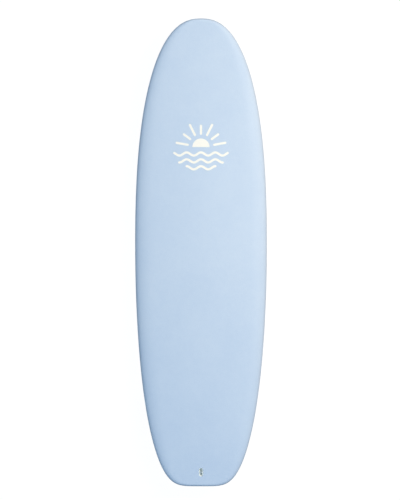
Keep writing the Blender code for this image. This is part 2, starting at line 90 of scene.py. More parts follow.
APEX_SHARE = 0.45
CROWN_SHARE = 0.32
RAIL_RUN_MIDDLE = 0.085
RAIL_RUN_TIP = 0.012
RAIL_RUN_POWER = 6.0
RAIL_RUN_ROUND_POWER = 0.8
RAIL_BOTTOM_SHARE = 0.42
RAIL_TOP_POWER = 2.6
RAIL_BOTTOM_POWER = 2.2
SEAM_ANGLE = math.radians(42)
SEAM_GAP_ANGLE = math.radians(1.3)
GAP = 0.0003
DECK_SKIN = 0.0050
DECK_EDGE = 0.0010       # how much the seam's corner eases in, here and on the bottom
BOTTOM_SKIN = 0.0015
BOTTOM_EDGE = 0.0006

# ---------------------------------------------------------------- the CAD's fittings
CENTRE_BOX_FROM_TAIL = 0.168
SIDE_BOX_FROM_TAIL = 0.350
SIDE_BOX_X = 0.192
TOE_IN = math.radians(3.0)
CANT = math.radians(6.0)
FIN_DEPTH = 0.116
FIN_BASE = 0.110
FIN_SWEEP = 0.074
FIN_SWEEP_POWER = 1.35
FIN_TIP_RAKE = 0.052
FIN_TIP_RAKE_POWER = 5
FIN_TRAIL_HOLLOW = 0.016
FIN_TRAIL_HOLLOW_RUN = 1.15
FIN_TRAIL_SWEEP = 0.040
FIN_TIP_ROUND_POWER = 14
FIN_TIP_CENTRE = 0.62
FIN_TIP_THIN_POWER = 24
FIN_THICKNESS = 0.0072
FIN_THINNING = 0.72
FIN_EDGE = 0.0010
FIN_EDGE_ROUND_POWER = 16
FIN_EDGE_EASE = 0.35
FIN_LEAST_HALF = 0.00002
FIN_FLAT_MARGIN = 0.0004
TAB_LENGTH = 0.024
TAB_THICKNESS = 0.0062
TAB_DEPTH = 0.014
TAB_CHAMFER = 0.0008
TAB_ROOT = 0.0006
TAB_ROOT_INSET = 0.0022
TAB_ROOT_OFFSET = 0.0021
TAB_ROOT_STEP = 0.00003
TAB_SPACING = 0.056
BOX_LENGTH = 0.114
BOX_WIDTH = 0.030
BOX_DEPTH = 0.0175
BOX_EASE = 0.0006
BOX_RIM_STEP = 0.3
POCKET_FLARE = 0.0008
POCKET_FLARE_TOP = 0.0001
POCKET_FLARE_DEPTH = 0.0005
SCREW_RADIUS = 0.0025
SCREW_LENGTH = 0.0085
SCREW_TIP_RADIUS = 0.0012
SCREW_HOLE_RADIUS = 0.0028
SCREW_LEAN = math.radians(25)
SCREW_TIP_DEPTH = 0.0095
SCREW_CHAMFER = 0.0004
THREAD_DEPTH = 0.0003
THREAD_PITCH = 0.0008
THREAD_START = 0.0001    # plain lengths before the first thread and after the last
THREAD_END = 0.0006
SOCKET_RADIUS = 0.00145
SOCKET_DEPTH = 0.0030
SOCKET_CHAMFER = 0.0003
PLUG_FROM_TAIL = 0.065
PLUG_MOUTH_LENGTH = 0.0385
PLUG_MOUTH_WIDTH = 0.0175
PLUG_MOUTH_CUT = 0.012   # goes through the deck's skin
PLUG_LIP = 0.0010
PLUG_DRAFT = 0.0070
PLUG_HOLLOW_DEPTH = 0.020
PLUG_HEEL = 0.0010       # the dish in the cup's floor: its height, its first drop and its inset
PLUG_HEEL_DROP = 0.0006
PLUG_HEEL_INSET = 0.0008
PLUG_PROUD = 0.0004
PLUG_LIP_CREST = 0.55
PLUG_LIP_OUTER_ROUND = 0.0005
PLUG_LIP_INNER_ROUND = 0.0006
PLUG_FLANGE = 0.008
PLUG_FLANGE_TOP = DECK_SKIN + 0.0005
PLUG_FLANGE_THICKNESS = 0.0020
PLUG_FLANGE_CHAMFER = 0.0004
PLUG_DEPTH = 0.0225
PLUG_FOOT_CHAMFER = 0.0015
PLUG_WALL = 0.0022
BAR_RADIUS = 0.0025
BAR_DEPTH = 0.0075
BAR_END_GAP = 0.0004
BAR_END_ROUND = 0.0005
BAR_END_SHOULDER = 0.00015

# ---------------------------------------------------------------- the print on the deck
PRINT_FROM_NOSE = 0.274 * LENGTH
PRINT_WIDTH = 0.262
PRINT_STROKE = 0.0105
PRINT_LIFT = 0.00012
PRINT_DEPTH = 0.00010
SUN_RADIUS = 0.30        # this and the lengths below are shares of half the print's width
RAYS = 7
RAY_FIRST = math.radians(10)
RAY_SPREAD = math.radians(160)
RAY_START = 0.47
RAY_ENDS = (0.86, 0.74)
WAVE_REACHES = (0.93, 0.76, 0.50)
WAVE_SPACING = 0.24
WAVE_HEIGHT = 0.055
WAVE_PERIOD = 0.50

# ---------------------------------------------------------------- mesh fineness
OUTLINE_SAMPLES = 20001
TURN_WEIGHT = 0.45       # how strongly a turn in the outline draws stations to it
STATIONS = 200
DECK_COLUMNS = 14
RAIL_STEPS = 16
WRAP_STEPS = 7
# The seam's rounded corners: shares of the way round to the corner, and how far each point is eased.
DECK_CORNER_START = 0.93
DECK_CORNER_SHARES = (0.972, 0.993, 1.0)
DECK_CORNER_EASE = (0.12, 0.45, 1.0)
BOTTOM_CORNER_SHARES = (0, 0.012, 0.04)
BOTTOM_CORNER_EASE = (1.0, 0.4, 0.1)
BOTTOM_CORNER_END = 0.1
ARC_STEPS = 16
ROUND_STEPS = 64
SOCKET_SIDES = 6
SCREW_STEPS = 32
BORE_STEPS = 48
FIN_STEPS = 28
FIN_LEVELS = 54
FIN_LAST_LEVEL = 0.99985
SUN_ROWS = 48
WAVE_POINTS = 60
RAY_POINTS = 6
SHARP = 35.0             # edges that turn more than this many degrees stay sharp
LEAST_SHARE = 0.02       # keeps a stroke's end, the sun's edge and a fin's tip from closing up
CUT_PAST = 0.010         # cutters run past what they cut by this or a few times it
SMALL_CUT_PAST = 0.001   # the same for the cutters of the screws and the leash bar

# ---------------------------------------------------------------- picture
LENS = 300.0
SENSOR = 36.0
NOSE_MARGIN = 0.0370     # clear space past each tip, as a share of the picture's height
TAIL_MARGIN = 0.0276
SIDE_SHIFT = 0.0020      # how far right of the middle the board lies, in the same shares

# ---------------------------------------------------------------- studio
FLOOR_DROP = 0.001       # clear air under the fins
FLOOR_REACH = 120.0
FLOOR_SHADOW = 0.10      # how pale the floor is where the camera sees its shading
FLOOR_GLOW = 0.94
FLOOR_BOUNCE = 0.25      # how much light it sends back up to the board
SKY_TOP = 1.185          # the dome's strength overhead, as the board sees it
SKY_BLUE = (0.508, 0.724, 1.0)
SKY_SEEN = (0.98, 0.997, 1.0)
LAMP_WARM = (1.0, 0.87, 0.73)
LAMP_TARGET = (0, 0, 0.05)


# ---------------------------------------------------------------- hull shape
def half_width(y):
    """Half the board's width at a place along its length."""
    nose_run = np.clip((WIDE_Y - y) / (TIP_Y + WIDE_Y), 0, 1)
    tail_run = np.clip((y - WIDE_Y) / (TIP_Y - WIDE_Y), 0, 1)
    nose = (1 - nose_run**NOSE_RUN_POWER) ** (1 / NOSE_ROUND_POWER)
    tail = (1 - TAIL_TAPER * tail_run**2) * (1 - tail_run**TAIL_CORNER_POWER) ** (1 / TAIL_ROUND_POWER)
    return WIDTH / 2 * nose * tail


def bottom_height(y):
    """Height of the bottom's centreline."""
    run = np.clip((np.abs(y) - FLAT_HALF) / (TIP_Y - FLAT_HALF), 0, ROCKER_RUN_LIMIT)
    nose = NOSE_ROCKER * run**NOSE_ROCKER_POWER
    tail = TAIL_ROCKER * run**TAIL_ROCKER_POWER
    return np.where(np.asarray(y) < 0, nose, tail)


def thickness(y):
    """Thickness on the centreline."""
    end_share = np.where(np.asarray(y) < 0, NOSE_THICKNESS_SHARE, TAIL_THICKNESS_SHARE)
    return THICKNESS * (1 - (1 - end_share) * np.abs(y / TIP_Y) ** FOIL_POWER)


def deck_rise(x, y):
    """Height of the deck above the rail's apex."""
    return (1 - APEX_SHARE) * thickness(y) * (1 - CROWN_SHARE * (x / (WIDTH / 2)) ** 2)


def deck_height(x, y):
    """Height of the deck inside the rails."""
    return bottom_height(y) + APEX_SHARE * thickness(y) + deck_rise(x, y)


def rail_run(y, above):
    """How far the rail's roll reaches in from the outline."""
    if not above:
        return RAIL_BOTTOM_SHARE * thickness(y)
    fullness = (1 - np.abs(y / TIP_Y) ** RAIL_RUN_POWER) ** RAIL_RUN_ROUND_POWER
    return RAIL_RUN_TIP + (RAIL_RUN_MIDDLE - RAIL_RUN_TIP) * fullness


def outline_stations(count):
    """Points on the outline's +X half from nose to tail, closer where it turns, and inward directions."""
    angle = np.linspace(0, math.pi, OUTLINE_SAMPLES)
    y = -TIP_Y * np.cos(angle)
    x = half_width(y)
    x[0] = x[-1] = 0
    tangent = np.stack([np.gradient(x), np.gradient(y)], axis=1)
    tangent /= np.linalg.norm(tangent, axis=1)[:, None]
    tangent[0], tangent[-1] = (1, 0), (-1, 0)
    step = np.hypot(np.diff(x), np.diff(y))
    turn = np.linalg.norm(np.diff(tangent, axis=0), axis=1)
    effort = np.concatenate([[0], np.cumsum(step / LENGTH + TURN_WEIGHT * turn)])
    wanted = np.linspace(0, effort[-1], count + 1)
    points = np.stack([np.interp(wanted, effort, x), np.interp(wanted, effort, y)], axis=1)
    along = np.stack([np.interp(wanted, effort, tangent[:, axis]) for axis in (0, 1)], axis=1)
    along /= np.linalg.norm(along, axis=1)[:, None]
    return points, np.stack([-along[:, 1], along[:, 0]], axis=1)


def rail_rows(stations, depths, angles, above):
    """Rail points by station and angle, at depths below the skin.

    Angle 0 is the rail's apex and a right angle its shoulder.
    """
    power = RAIL_TOP_POWER if above else RAIL_BOTTOM_POWER
    points, inward = stations
    depth = np.broadcast_to(np.asarray(depths, float), (len(angles),))
    run = rail_run(points[:, 1], above)[:, None] - depth
    inset = depth + run * (1 - np.maximum(np.cos(angles), 0) ** (2 / power))
    x = np.maximum(points[:, :1] + inward[:, :1] * inset, 0)
    y = points[:, 1:] + inward[:, 1:] * inset
    apex = bottom_height(y) + APEX_SHARE * thickness(y)
    rise = deck_rise(x, y) if above else APEX_SHARE * thickness(y)
    lift = (rise - depth) * np.sin(angles) ** (2 / power)
    return np.stack([x, y, apex + lift if above else apex - lift], axis=2)


def flat_rows(shoulder, columns, height_at):
    """Points from the centreline out to, but not including, a line of shoulder points."""
    share = np.arange(columns) / columns
    x = shoulder[:, :1] * share
    y = np.repeat(shoulder[:, 1:2], columns, axis=1)
    return np.stack([x, y, height_at(x, y)], axis=2)


def deck_rows(stations, depth, edge):
    """The deck skin's surface at a depth, from the centreline to the seam. edge eases its last corner."""
    top_angles = np.linspace(1, 0, RAIL_STEPS + 1) * math.pi / 2
    top = rail_rows(stations, depth, top_angles, above=True)
    share = np.concatenate([np.linspace(0, DECK_CORNER_START, WRAP_STEPS + 1)[1:], DECK_CORNER_SHARES])
    eased = depth + edge * np.concatenate([np.zeros(WRAP_STEPS), DECK_CORNER_EASE])
    wrap = rail_rows(stations, eased, SEAM_ANGLE * share, above=False)
    flat = flat_rows(top[:, 0], DECK_COLUMNS, lambda x, y: deck_height(x, y) - depth)
    return np.concatenate([flat, top, wrap], axis=1)


def bottom_rows(stations, depth, edge):
    """The bottom skin's surface at a depth, from the centreline to the seam. edge eases its last corner."""
    start = SEAM_ANGLE + SEAM_GAP_ANGLE
    share = np.concatenate([BOTTOM_CORNER_SHARES, np.linspace(BOTTOM_CORNER_END, 1, WRAP_STEPS + 2)])
    eased = depth + edge * np.concatenate([BOTTOM_CORNER_EASE, np.zeros(WRAP_STEPS + 2)])
    under = rail_rows(stations, eased, start + (math.pi / 2 - start) * share, above=False)
    flat = flat_rows(under[:, -1], DECK_COLUMNS, lambda x, y: bottom_height(y) + depth)
    return np.concatenate([flat, under[:, ::-1]], axis=1)


# ---------------------------------------------------------------- mesh helpers
class Welder:
    """Builds a mesh in which points in the same place are one vertex."""

    def __init__(self):
        self.points = []
        self.faces = []
        self.found = {}

    def vertex(self, point):
        key = (round(point[0] * 1e6), round(point[1] * 1e6), round(point[2] * 1e6))
        if key not in self.found:
            self.found[key] = len(self.points)
            self.points.append(tuple(float(c) for c in point))
        return self.found[key]

    def face(self, *points):
        corners = []
        for point in points:
            index = self.vertex(point)
            if index not in corners:
                corners.append(index)
        if len(corners) > 2:
            self.faces.append(corners)

    def sheet(self, rows, closed=False):
        """Faces between neighbouring rows of points; a closed sheet's rows are rings."""
        for first, second in zip(rows, rows[1:]):
            count = len(first)
            for k in range(count if closed else count - 1):
                n = (k + 1) % count
                self.face(first[k], first[n], second[n], second[k])


def mesh_object(name, welder, material, sharp=SHARP, matrix=None):
    """Turns a welder's faces into an object with its faces pointing out."""
    mesh = bpy.data.meshes.new(name)
    mesh.from_pydata(welder.points, [], welder.faces)
    bm = bmesh.new()
    bm.from_mesh(mesh)
    bmesh.ops.recalc_face_normals(bm, faces=bm.faces)
    bm.to_mesh(mesh)
    bm.free()
    mesh.materials.append(material)
    mesh.shade_smooth()
    mesh.set_sharp_from_angle(angle=math.radians(sharp))
    obj = bpy.data.objects.new(name, mesh)
    bpy.context.scene.collection.objects.link(obj)
    if matrix is not None:
        obj.matrix_world = matrix
    return obj


def carve(obj, cutters, operation="DIFFERENCE", sharp=SHARP):
    """Cuts away helper objects or joins them on, then removes them."""
    for cutter in cutters:
        modifier = obj.modifiers.new(cutter.name, "BOOLEAN")
        modifier.operation = operation
        modifier.solver = "EXACT"
        modifier.object = cutter
    bpy.context.view_layer.update()
    evaluated = obj.evaluated_get(bpy.context.evaluated_depsgraph_get())
    shaped = bpy.data.meshes.new_from_object(evaluated)
    obj.modifiers.clear()
    obj.data = shaped
    for cutter in cutters:
        bpy.data.objects.remove(cutter)
    obj.data.set_sharp_from_angle(angle=math.radians(sharp))


def slot_ring(length, width, height, steps=ARC_STEPS):
    """A ring of points round a slot with half-round ends, long in Y, at one height."""
    radius = width / 2
    reach = length / 2 - radius
    ring = []
    for k in range(4 * steps):
        angle = 2 * math.pi * (k + 0.5) / (4 * steps)
        side = 1 if math.sin(angle) > 0 else -1
        ring.append((radius * math.cos(angle), side * reach + radius * math.sin(angle), height))
    return ring


def round_ring(radius, height, steps=ROUND_STEPS):
    turns = (2 * math.pi * k / steps for k in range(steps))
    return [(radius * math.cos(a), radius * math.sin(a), height) for a in turns]


def loft(rings):
    """A closed body through a stack of rings, with a face over each end."""
    welder = Welder()
    welder.sheet(rings, closed=True)
    welder.face(*rings[0])
    welder.face(*rings[-1][::-1])
    return welder


def fillet(inner, outer, radius, steps=4):
    """(offset, height) pairs round a quarter circle, from (outer, -radius) up to (inner, 0)."""
    turns = (math.pi / 2 * k / steps for k in range(steps + 1))
    return [(inner + (outer - inner) * math.cos(a), radius * (math.sin(a) - 1)) for a in turns]


# ---------------------------------------------------------------- material helpers
class Shader:
    """A Principled material and short ways to add the nodes that feed it."""

    def __init__(self, name, metallic=0.0, specular=0.5):
        self.material = bpy.data.materials.new(name)
        self.material.use_nodes = True
        self.tree = self.material.node_tree
        self.surface = self.tree.nodes["Principled BSDF"]
        self.surface.inputs["Metallic"].default_value = metallic
        self.surface.inputs["Specular IOR Level"].default_value = specular
        self.place = self.tree.nodes.new("ShaderNodeTexCoord").outputs["Object"]
        self.normal = None

    def link(self, value, socket):
        if isinstance(value, bpy.types.NodeSocket):
            self.tree.links.new(value, socket)
        elif isinstance(value, tuple) and len(value) == 3 and socket.type == "RGBA":
            socket.default_value = (*value, 1.0)
        else:
            socket.default_value = value

    def node(self, kind, inputs=None, output=0, **settings):
        made = self.tree.nodes.new(kind)
        for key, value in settings.items():
            setattr(made, key, value)
        for key, value in (inputs or {}).items():
            self.link(value, made.inputs[key])
        return made.outputs[output]

    def stretched(self, scale):
        """The object's coordinates, scaled axis by axis."""
        return self.node("ShaderNodeMapping", {"Vector": self.place, "Scale": scale})

    def noise(self, scale, detail=2.0, rough=0.5, place=None):
        inputs = {"Vector": place or self.place, "Scale": scale, "Detail": detail, "Roughness": rough}
        return self.node("ShaderNodeTexNoise", inputs)

    def cells(self, scale, feature="F1"):
        return self.node("ShaderNodeTexVoronoi", {"Vector": self.place, "Scale": scale}, feature=feature)

    def remap(self, value, low, high, new_low, new_high):
        inputs = {"Value": value, "From Min": low, "From Max": high, "To Min": new_low, "To Max": new_high}
        return self.node("ShaderNodeMapRange", inputs)

    def math(self, operation, first, second):
        return self.node("ShaderNodeMath", {0: first, 1: second}, operation=operation)

    def mix(self, share, first, second, blend="MIX"):
        made = self.tree.nodes.new("ShaderNodeMix")
        made.data_type = "RGBA"
        made.blend_type = blend
        self.link(share, made.inputs["Factor"])
        self.link(first, made.inputs[6])
        self.link(second, made.inputs[7])
        return made.outputs[2]

    def colour(self, value):
        self.link(value, self.surface.inputs["Base Color"])

    def roughness(self, value):
        self.link(value, self.surface.inputs["Roughness"])

    def bump(self, height, distance, strength):
        """Adds a layer of bump; distance is the height of a full step in metres."""
        made = self.tree.nodes.new("ShaderNodeBump")
        self.link(strength, made.inputs["Strength"])
        self.link(distance, made.inputs["Distance"])
        self.link(height, made.inputs["Height"])
        if self.normal is not None:
            self.tree.links.new(self.normal, made.inputs["Normal"])
        self.normal = made.outputs["Normal"]
        self.link(self.normal, self.surface.inputs["Normal"])


def tinted(colour, gain):
    """A colour made lighter or darker."""
    return tuple(min(c * gain, 1.0) for c in colour)


# ---------------------------------------------------------------- materials
DECK_BLUE = (0.616, 0.680, 0.720)
# the tail's darker blue is painted shade, for the lesser light and sheen the deck takes towards the tail
TAIL_SHADE_BLUE = (0.571, 0.650, 0.715)
PRINT_WHITE = (0.966, 0.880, 0.712)


def add_foam_grain(shader):
    """The heat-sealed skin of closed-cell foam: fine grain over shallow, uneven swells."""
    shader.bump(shader.noise(11.0, 2.0), 0.0016, 0.35)
    shader.bump(shader.noise(60.0, 3.0), 0.00030, 0.35)
    shader.bump(shader.noise(900.0, 2.0, 0.6), 0.00025, 0.6)
    shader.bump(shader.cells(520.0), 0.00020, 0.6)


def deck_foam_material():
    """Pale blue foam, painted darker towards the tail as shade, with cloudy blotches, fine grain and open
    pores.
    """
    shader = Shader("deck_foam", specular=0.35)
    along = shader.node("ShaderNodeSeparateXYZ", {"Vector": shader.place}, output=1)
    # painted shade: the base blue darkens towards the tail, where the deck takes less light
    tail_shade = shader.remap(along, 0.05, TIP_Y, 0.0, 1.0)
    base = shader.mix(tail_shade, DECK_BLUE, TAIL_SHADE_BLUE)
    blotches = shader.remap(shader.noise(6.5, 3.0, 0.55), 0.30, 0.70, 0.0, 1.0)
    base = shader.mix(blotches, base, shader.mix(1.0, base, (0.955, 0.968, 0.985), "MULTIPLY"))
    flecks = shader.remap(shader.noise(42.0, 4.0, 0.6), 0.35, 0.70, 0.0, 1.0)
    base = shader.mix(flecks, base, shader.mix(1.0, base, (0.975, 0.982, 0.990), "MULTIPLY"))
    grain = shader.remap(shader.noise(650.0, 3.0, 0.65), 0.36, 0.64, 0.0, 1.0)
    base = shader.mix(grain, base, shader.mix(1.0, base, (0.90, 0.92, 0.95), "MULTIPLY"))
    pores = shader.remap(shader.cells(420.0), 0.0, 0.30, 1.0, 0.0)
    shader.colour(shader.mix(pores, base, shader.mix(1.0, base, (0.82, 0.85, 0.90), "MULTIPLY")))
    shader.roughness(shader.remap(shader.noise(28.0, 3.0), 0.3, 0.7, 0.50, 0.62))
    add_foam_grain(shader)
    return shader.material


def print_material():
    """Ink on the foam: it takes the foam's grain, and the pores show through it a little."""
    shader = Shader("deck_print", specular=0.40)
    pores = shader.remap(shader.cells(420.0), 0.0, 0.30, 1.0, 0.0)
    worn = shader.remap(shader.noise(90.0, 4.0, 0.65), 0.62, 0.80, 0.0, 0.25)
    bare = shader.math("MAXIMUM", worn, shader.math("MULTIPLY", pores, 0.18))
    shader.colour(shader.mix(bare, PRINT_WHITE, DECK_BLUE))
    shader.roughness(shader.remap(shader.noise(35.0, 2.0), 0.3, 0.7, 0.44, 0.56))
    add_foam_grain(shader)
    return shader.material


def slick_material():
    """Smooth polyethylene: a soft gloss with a faint orange peel and fine scuffs along the board."""
    shader = Shader("slick_skin", specular=0.45)
    clouds = shader.remap(shader.noise(5.0, 2.0), 0.3, 0.7, 0.0, 1.0)
    shader.colour(shader.mix(clouds, (0.800, 0.835, 0.865), (0.845, 0.870, 0.890)))
    scuffs = shader.noise(60.0, 5.0, 0.7, shader.stretched((9.0, 0.6, 1.0)))
    shader.roughness(shader.remap(scuffs, 0.45, 0.75, 0.26, 0.36))
    shader.bump(shader.noise(160.0, 2.0), 0.00010, 0.5)
    shader.bump(shader.noise(9.0, 2.0), 0.0009, 0.3)
    return shader.material


def add_moulded_surface(shader, roughness):
    """A moulding's uneven gloss, fine spark-eroded grain and faint sink marks."""
    shader.roughness(shader.remap(shader.noise(90.0, 3.0), 0.3, 0.7, roughness - 0.06, roughness + 0.08))
    shader.bump(shader.noise(2600.0, 2.0), 0.00004, 0.6)
    shader.bump(shader.noise(70.0, 2.0), 0.00015, 0.25)


def box_material():
    """Pale moulded nylon with slight flow marks along the box."""
    colour = (0.70, 0.72, 0.73)
    shader = Shader("box_nylon", specular=0.45)
    flow = shader.noise(38.0, 3.0, 0.6, shader.stretched((1.0, 0.45, 1.0)))
    flow = shader.remap(flow, 0.3, 0.7, 0.0, 1.0)
    shader.colour(shader.mix(flow, tinted(colour, 0.97), tinted(colour, 1.03)))
    add_moulded_surface(shader, 0.42)
    return shader.material


def cup_material():
    """White moulded nylon, painted dark grey towards the bottom of the cup as shade in the recess."""
    shader = Shader("cup_nylon", specular=0.45)
    height = shader.node("ShaderNodeSeparateXYZ", {"Vector": shader.place}, output="Z")
    patchy = shader.math("ADD", height, shader.math("MULTIPLY", shader.noise(220.0, 3.0), 0.004))
    # painted shade: the nylon darkens patchily towards the cup's bottom, standing in for the shadow deep in
    # the recess
    depth = shader.remap(patchy, -0.020, -0.010, 1.0, 0.0)
    shader.colour(shader.mix(depth, (0.92, 0.95, 0.90), (0.30, 0.33, 0.29)))
    add_moulded_surface(shader, 0.36)
    return shader.material


def fin_material():
    """Glass-filled nylon: charcoal, with short pale fibres just under a satin surface."""
    colour = (0.035, 0.046, 0.060)
    shader = Shader("fin_nylon", specular=0.45)
    streaks = shader.noise(2400.0, 2.0, 0.6, shader.stretched((1.0, 0.22, 0.6)))
    fibres = shader.remap(streaks, 0.60, 0.74, 0.0, 0.30)
    flow = shader.remap(shader.noise(22.0, 3.0), 0.3, 0.7, 0.0, 1.0)
    base = shader.mix(flow, colour, tinted(colour, 1.5))
    shader.colour(shader.mix(fibres, base, (0.16, 0.18, 0.20)))
    shader.roughness(shader.remap(shader.noise(60.0, 3.0), 0.3, 0.7, 0.32, 0.48))
    shader.bump(shader.noise(2200.0, 2.0), 0.00003, 0.6)
    return shader.material


def steel_material():
    """Stainless steel with fine turning marks and a little uneven polish."""
    shader = Shader("stainless_steel", metallic=1.0)
    marks = shader.noise(400.0, 4.0, 0.6, shader.stretched((0.15, 4.0, 4.0)))
    polish = shader.remap(marks, 0.3, 0.7, 0.0, 1.0)
    shader.colour(shader.mix(polish, (0.58, 0.58, 0.57), (0.68, 0.68, 0.66)))
    shader.roughness(shader.remap(marks, 0.3, 0.7, 0.18, 0.36))
    shader.bump(marks, 0.00002, 0.5)
    return shader.material


def bead_foam_material(name, colour, bead, roughness=0.8):
    """Expanded foam: packed beads with a fine seam round each."""
    shader = Shader(name, specular=0.25)
    edge = shader.remap(shader.cells(1 / bead, "DISTANCE_TO_EDGE"), 0.0, 0.08, 1.0, 0.0)
    tone = shader.remap(shader.noise(14.0, 3.0), 0.3, 0.7, 0.0, 1.0)
    base = shader.mix(tone, tinted(colour, 0.96), tinted(colour, 1.03))
    shader.colour(shader.mix(edge, base, tinted(colour, 0.80)))
    shader.roughness(shader.remap(edge, 0.0, 1.0, roughness, min(roughness + 0.1, 1.0)))
    shader.bump(edge, -bead * 0.12, 0.8)
    return shader.material


def ply_material():
    """Thin plywood on edge: long grain with stripes of darker glue."""
    shader = Shader("stringer_ply", specular=0.3)
    grain = shader.noise(30.0, 6.0, 0.65, shader.stretched((60.0, 0.7, 14.0)))
    base = shader.mix(shader.remap(grain, 0.3, 0.7, 0.0, 1.0), (0.46, 0.30, 0.16), (0.66, 0.48, 0.30))
    across = shader.node("ShaderNodeSeparateXYZ", {"Vector": shader.place}, output=0)
    plies = shader.math("PINGPONG", shader.math("ADD", across, 1.0), 0.00125)
    glue = shader.remap(plies, 0.0, 0.00012, 1.0, 0.0)
    shader.colour(shader.mix(glue, base, (0.20, 0.11, 0.06)))
    shader.roughness(shader.remap(grain, 0.3, 0.7, 0.52, 0.70))
    shader.bump(grain, 0.0002, 0.6)
    return shader.material


def laminate_material():
    """Glass cloth in resin: a plain weave under a thin gloss."""
    shader = Shader("glass_laminate")
    cloth = {"Vector": shader.place, "Scale": 160.0}
    warp = shader.node("ShaderNodeTexWave", cloth, output=1, bands_direction="X")
    weft = shader.node("ShaderNodeTexWave", cloth, output=1, bands_direction="Y")
    weave = shader.math("MULTIPLY", warp, weft)
    milky = shader.remap(shader.noise(12.0, 3.0), 0.3, 0.7, 0.0, 1.0)
    base = shader.mix(milky, (0.70, 0.74, 0.70), (0.78, 0.80, 0.75))
    shader.colour(shader.mix(shader.math("MULTIPLY", weave, 0.4), base, (0.60, 0.65, 0.60)))
    shader.roughness(shader.remap(weave, 0.0, 1.0, 0.28, 0.45))
    shader.bump(weave, 0.0001, 0.5)
    return shader.material


MATERIALS = {
    "deck_foam": deck_foam_material(),
    "deck_print": print_material(),
    "slick_skin": slick_material(),
    "underlay_foam": bead_foam_material("underlay_foam", (0.80, 0.83, 0.85), 0.0012, 0.70),
    "glass_laminate": laminate_material(),
    "core_foam": bead_foam_material("core_foam", (0.88, 0.88, 0.86), 0.0040),
    "dense_foam": bead_foam_material("dense_foam", (0.70, 0.62, 0.45), 0.0009, 0.75),
    "stringer_ply": ply_material(),
    "box_nylon": box_material(),
    "fin_nylon": fin_material(),
    "cup_nylon": cup_material(),
    "stainless_steel": steel_material(),
}


# ---------------------------------------------------------------- places on the board
def surface_frame(x, y, height_at, turn=0.0):
    """A frame on the deck or the bottom, with its +Z square to the surface along the board's length."""
    step = 0.01
    slope = (float(height_at(y + step)) - float(height_at(y - step))) / (2 * step)
    place = Matrix.Translation((x, y, float(height_at(y))))
    return place @ Matrix.Rotation(turn, 4, "Z") @ Matrix.Rotation(math.atan(slope), 4, "X")


FIN_SETS = {
    "centre": (0, 0.0, CENTRE_BOX_FROM_TAIL),
    "left": (1, SIDE_BOX_X, SIDE_BOX_FROM_TAIL),
    "right": (-1, -SIDE_BOX_X, SIDE_BOX_FROM_TAIL),
}
FIN_FRAMES = {
    label: surface_frame(x, TIP_Y - from_tail, bottom_height, turn=-TOE_IN * side)
    for label, (side, x, from_tail) in FIN_SETS.items()
}
PLUG_FRAME = surface_frame(0, TIP_Y - PLUG_FROM_TAIL, lambda y: deck_height(0, y))
TABS = {"front": -TAB_SPACING / 2, "rear": TAB_SPACING / 2}


# ---------------------------------------------------------------- skins
def stand_in(piece, body, node):
    """Makes a piece ride a body and stand for a CAD node, which it hides."""
    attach(piece, body)
    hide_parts(node)


def slot_prism(name, length, width, low, high, matrix):
    """A cutter with half-round ends."""
    rings = [slot_ring(length, width, low), slot_ring(length, width, high)]
    return mesh_object(name, loft(rings), MATERIALS["box_nylon"], matrix=matrix)


def skin_piece(name, rows_at, inner_depth, edge, material):
    """A closed skin over both halves of the board: the same rows at the surface and at its inner depth."""
    stations = outline_stations(STATIONS)
    sheets = []
    for depth, ease in ((0.0, edge), (inner_depth, 0.0)):
        half = rows_at(stations, depth, ease)
        other = half[:, :0:-1] * np.array([-1.0, 1.0, 1.0])
        sheets.append(np.concatenate([other, half], axis=1))
    outer, inner = sheets
    welder = Welder()
    welder.sheet(outer)
    welder.sheet(inner[:, ::-1])
    for end in (0, -1):
        welder.sheet([outer[:, end], inner[:, end]])
    return mesh_object(name, welder, material)


def make_deck_cover():
    """The foam deck, wrapped round the rails, with the leash plug's mouth cut out of it."""
    cover = skin_piece("deck_cover", deck_rows, DECK_SKIN, DECK_EDGE, MATERIALS["deck_foam"])
    grow = 2 * (PLUG_LIP + GAP)
    length, width = PLUG_MOUTH_LENGTH + grow, PLUG_MOUTH_WIDTH + grow
    carve(cover, [slot_prism("mouth", length, width, -PLUG_MOUTH_CUT, CUT_PAST, PLUG_FRAME)])
    stand_in(cover, "board", "deck_skin")


def make_bottom_cover():
    """The slick bottom, with a hole for each fin box."""
    cover = skin_piece("bottom_cover", bottom_rows, BOTTOM_SKIN, BOTTOM_EDGE, MATERIALS["slick_skin"])
    length, width = BOX_LENGTH + 2 * GAP, BOX_WIDTH + 2 * GAP
    holes = []
    for label, matrix in FIN_FRAMES.items():
        holes.append(slot_prism(f"hole_{label}", length, width, -3 * CUT_PAST, 3 * CUT_PAST, matrix))
    carve(cover, holes)
    stand_in(cover, "board", "bottom_skin")


# ---------------------------------------------------------------- print
def print_point(u, v, height):
    """A point of the print: u to the rider's right, v to the nose, height above the deck."""
    x, y = -u, -TIP_Y + PRINT_FROM_NOSE - v
    return (x, y, float(deck_height(x, y)) + height)


def print_film(welder, grid):
    """A thin film over a grid of (u, v) points."""
    top = [[print_point(u, v, PRINT_LIFT) for u, v in row] for row in grid]
    base = [[print_point(u, v, PRINT_LIFT - PRINT_DEPTH) for u, v in row] for row in grid]
    welder.sheet(top)
    welder.sheet([row[::-1] for row in base])
    rim = [(r, 0) for r in range(len(grid))] + [(len(grid) - 1, c) for c in range(1, len(grid[0]))]
    rim += [(r, len(grid[0]) - 1) for r in range(len(grid) - 2, -1, -1)]
    rim += [(0, c) for c in range(len(grid[0]) - 2, -1, -1)]
    welder.sheet([[top[r][c] for r, c in rim], [base[r][c] for r, c in rim]])


